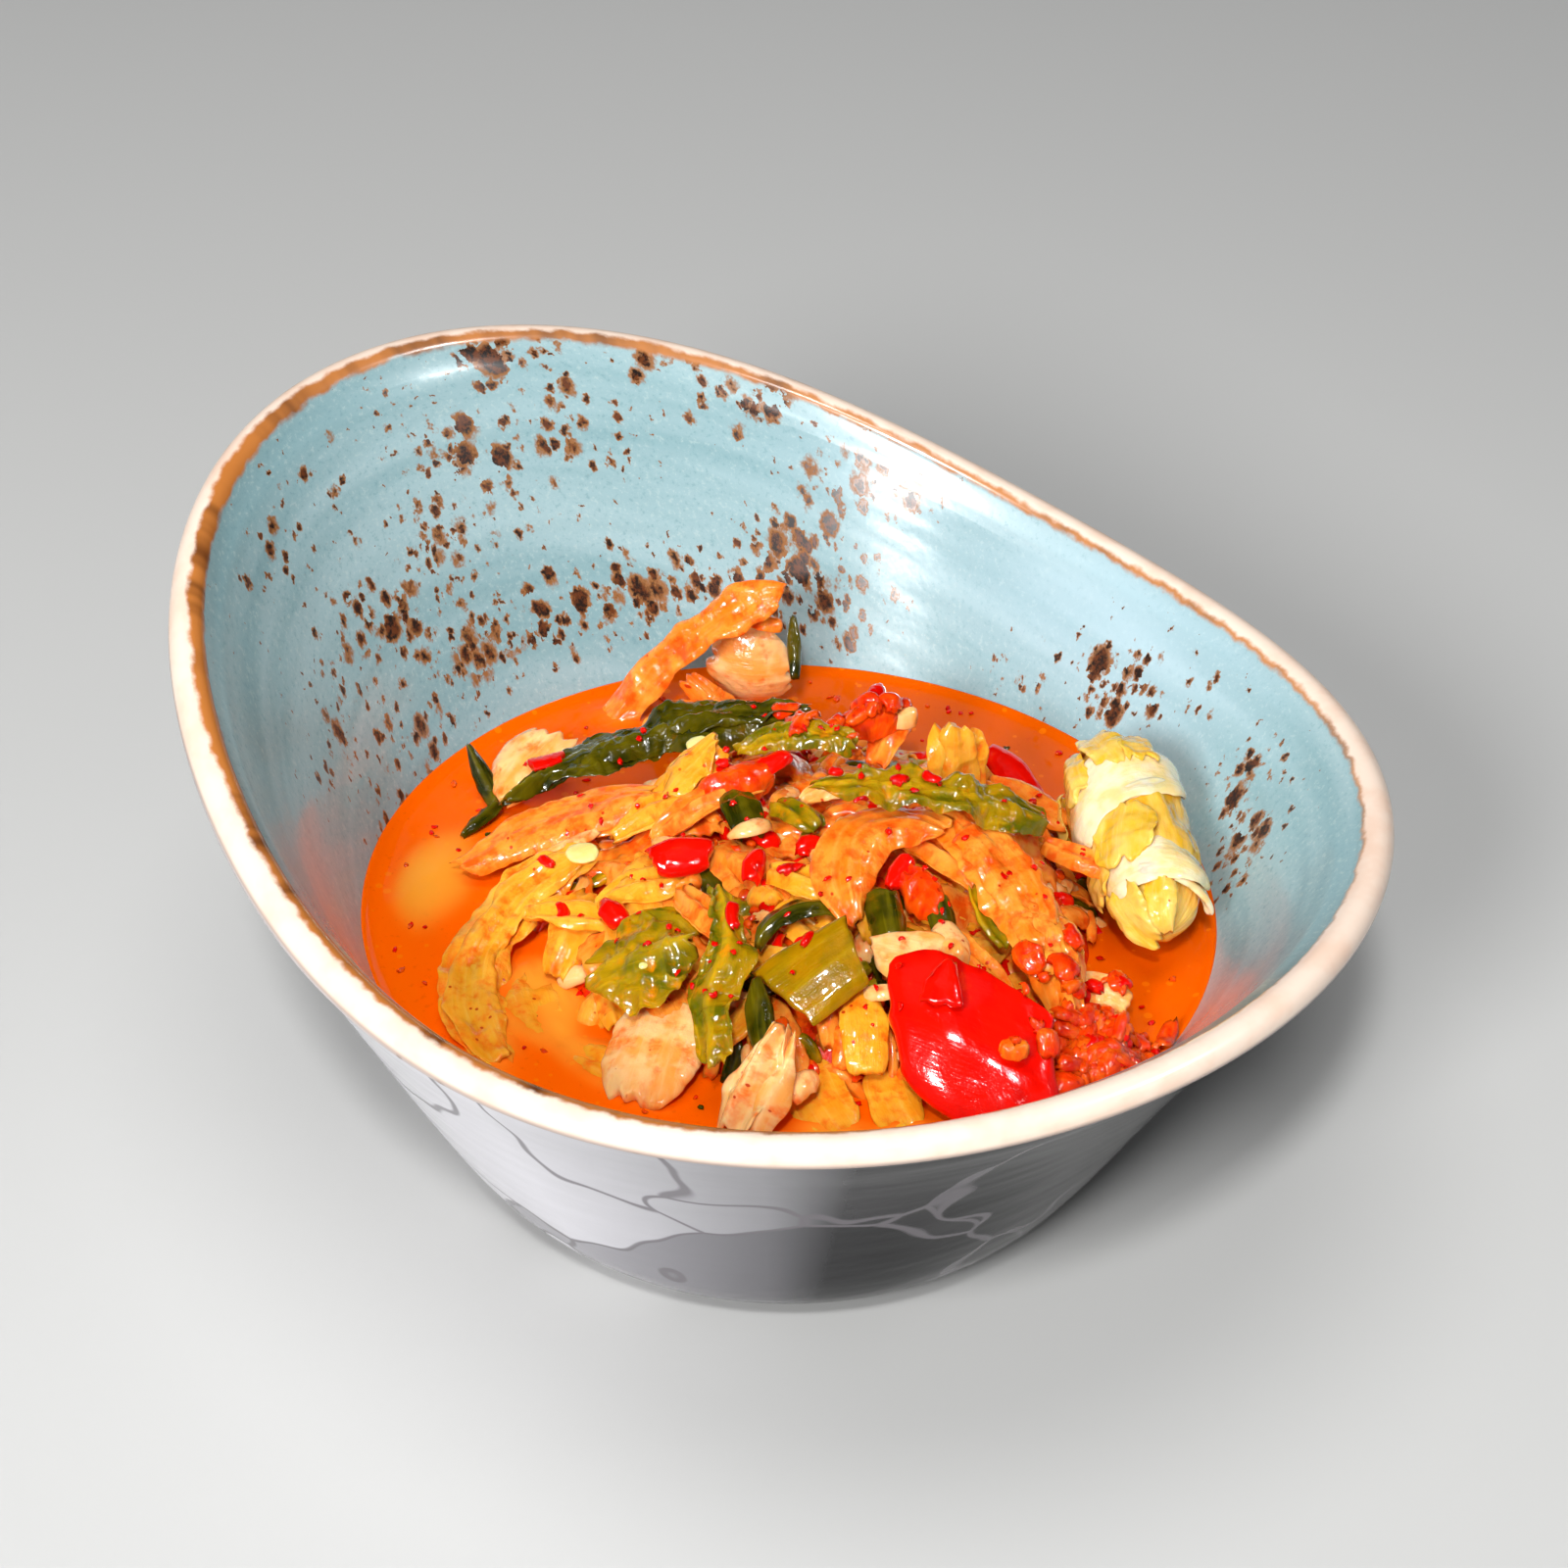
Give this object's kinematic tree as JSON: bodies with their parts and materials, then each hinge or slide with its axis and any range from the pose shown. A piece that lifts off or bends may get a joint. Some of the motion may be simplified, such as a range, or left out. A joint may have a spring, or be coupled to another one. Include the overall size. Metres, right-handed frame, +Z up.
{
  "type": "kimchi in a bowl",
  "caption": "Cut cabbage kimchi with peppers and greens in red-orange broth, in a deep stoneware bowl whose rim slopes up at the back.",
  "frame": {"origin": "on the surface the bowl stands on, under the middle of the bowl's outline", "axes": "+Z up, +Y towards the high back of the rim, the bowl's mirror plane is YZ"},
  "size_m": [0.1298, 0.1497, 0.0742],
  "materials": {
    "glaze": "glossy blue glaze with rust speckles inside, glossy pale grey outside, cream lip",
    "broth": "clear red-orange broth, wet",
    "kimchi": "wet chopped cabbage and chilli",
    "yellow_cabbage": "wet yellow cabbage leaf",
    "pale_cabbage": "wet pale cabbage stem",
    "orange_cabbage": "wet cabbage leaf stained orange",
    "green_leaf": "wet olive-green leaf and stalk",
    "dark_leaf": "wet dark green leaf",
    "red_pepper": "glossy red pepper skin"
  },
  "bodies": {
    "root": {"bowl": "glaze", "broth": "broth", "kimchi_mound": "kimchi", "cabbage_roll": "yellow_cabbage", "large_pepper": "red_pepper", "pepper_piece": "red_pepper", "back_pepper": "red_pepper", "green_stalk": "green_leaf", "olive_leaf": "green_leaf", "front_leaf": "green_leaf", "front_lobe": "green_leaf", "arc_leaf": "green_leaf", "dark_leaf": "dark_leaf", "petal": "pale_cabbage", "back_stem": "pale_cabbage", "left_stem": "pale_cabbage", "front_left_stem": "pale_cabbage", "front_stem": "pale_cabbage", "right_stem": "pale_cabbage", "pale_leaf": "pale_cabbage", "long_leaf": "orange_cabbage", "arch_leaf": "orange_cabbage", "arch_leg": "orange_cabbage", "orange_strip": "orange_cabbage", "standing_fold": "yellow_cabbage", "yellow_leaf": "yellow_cabbage", "yellow_fold": "yellow_cabbage"}
  },
  "joints": []
}
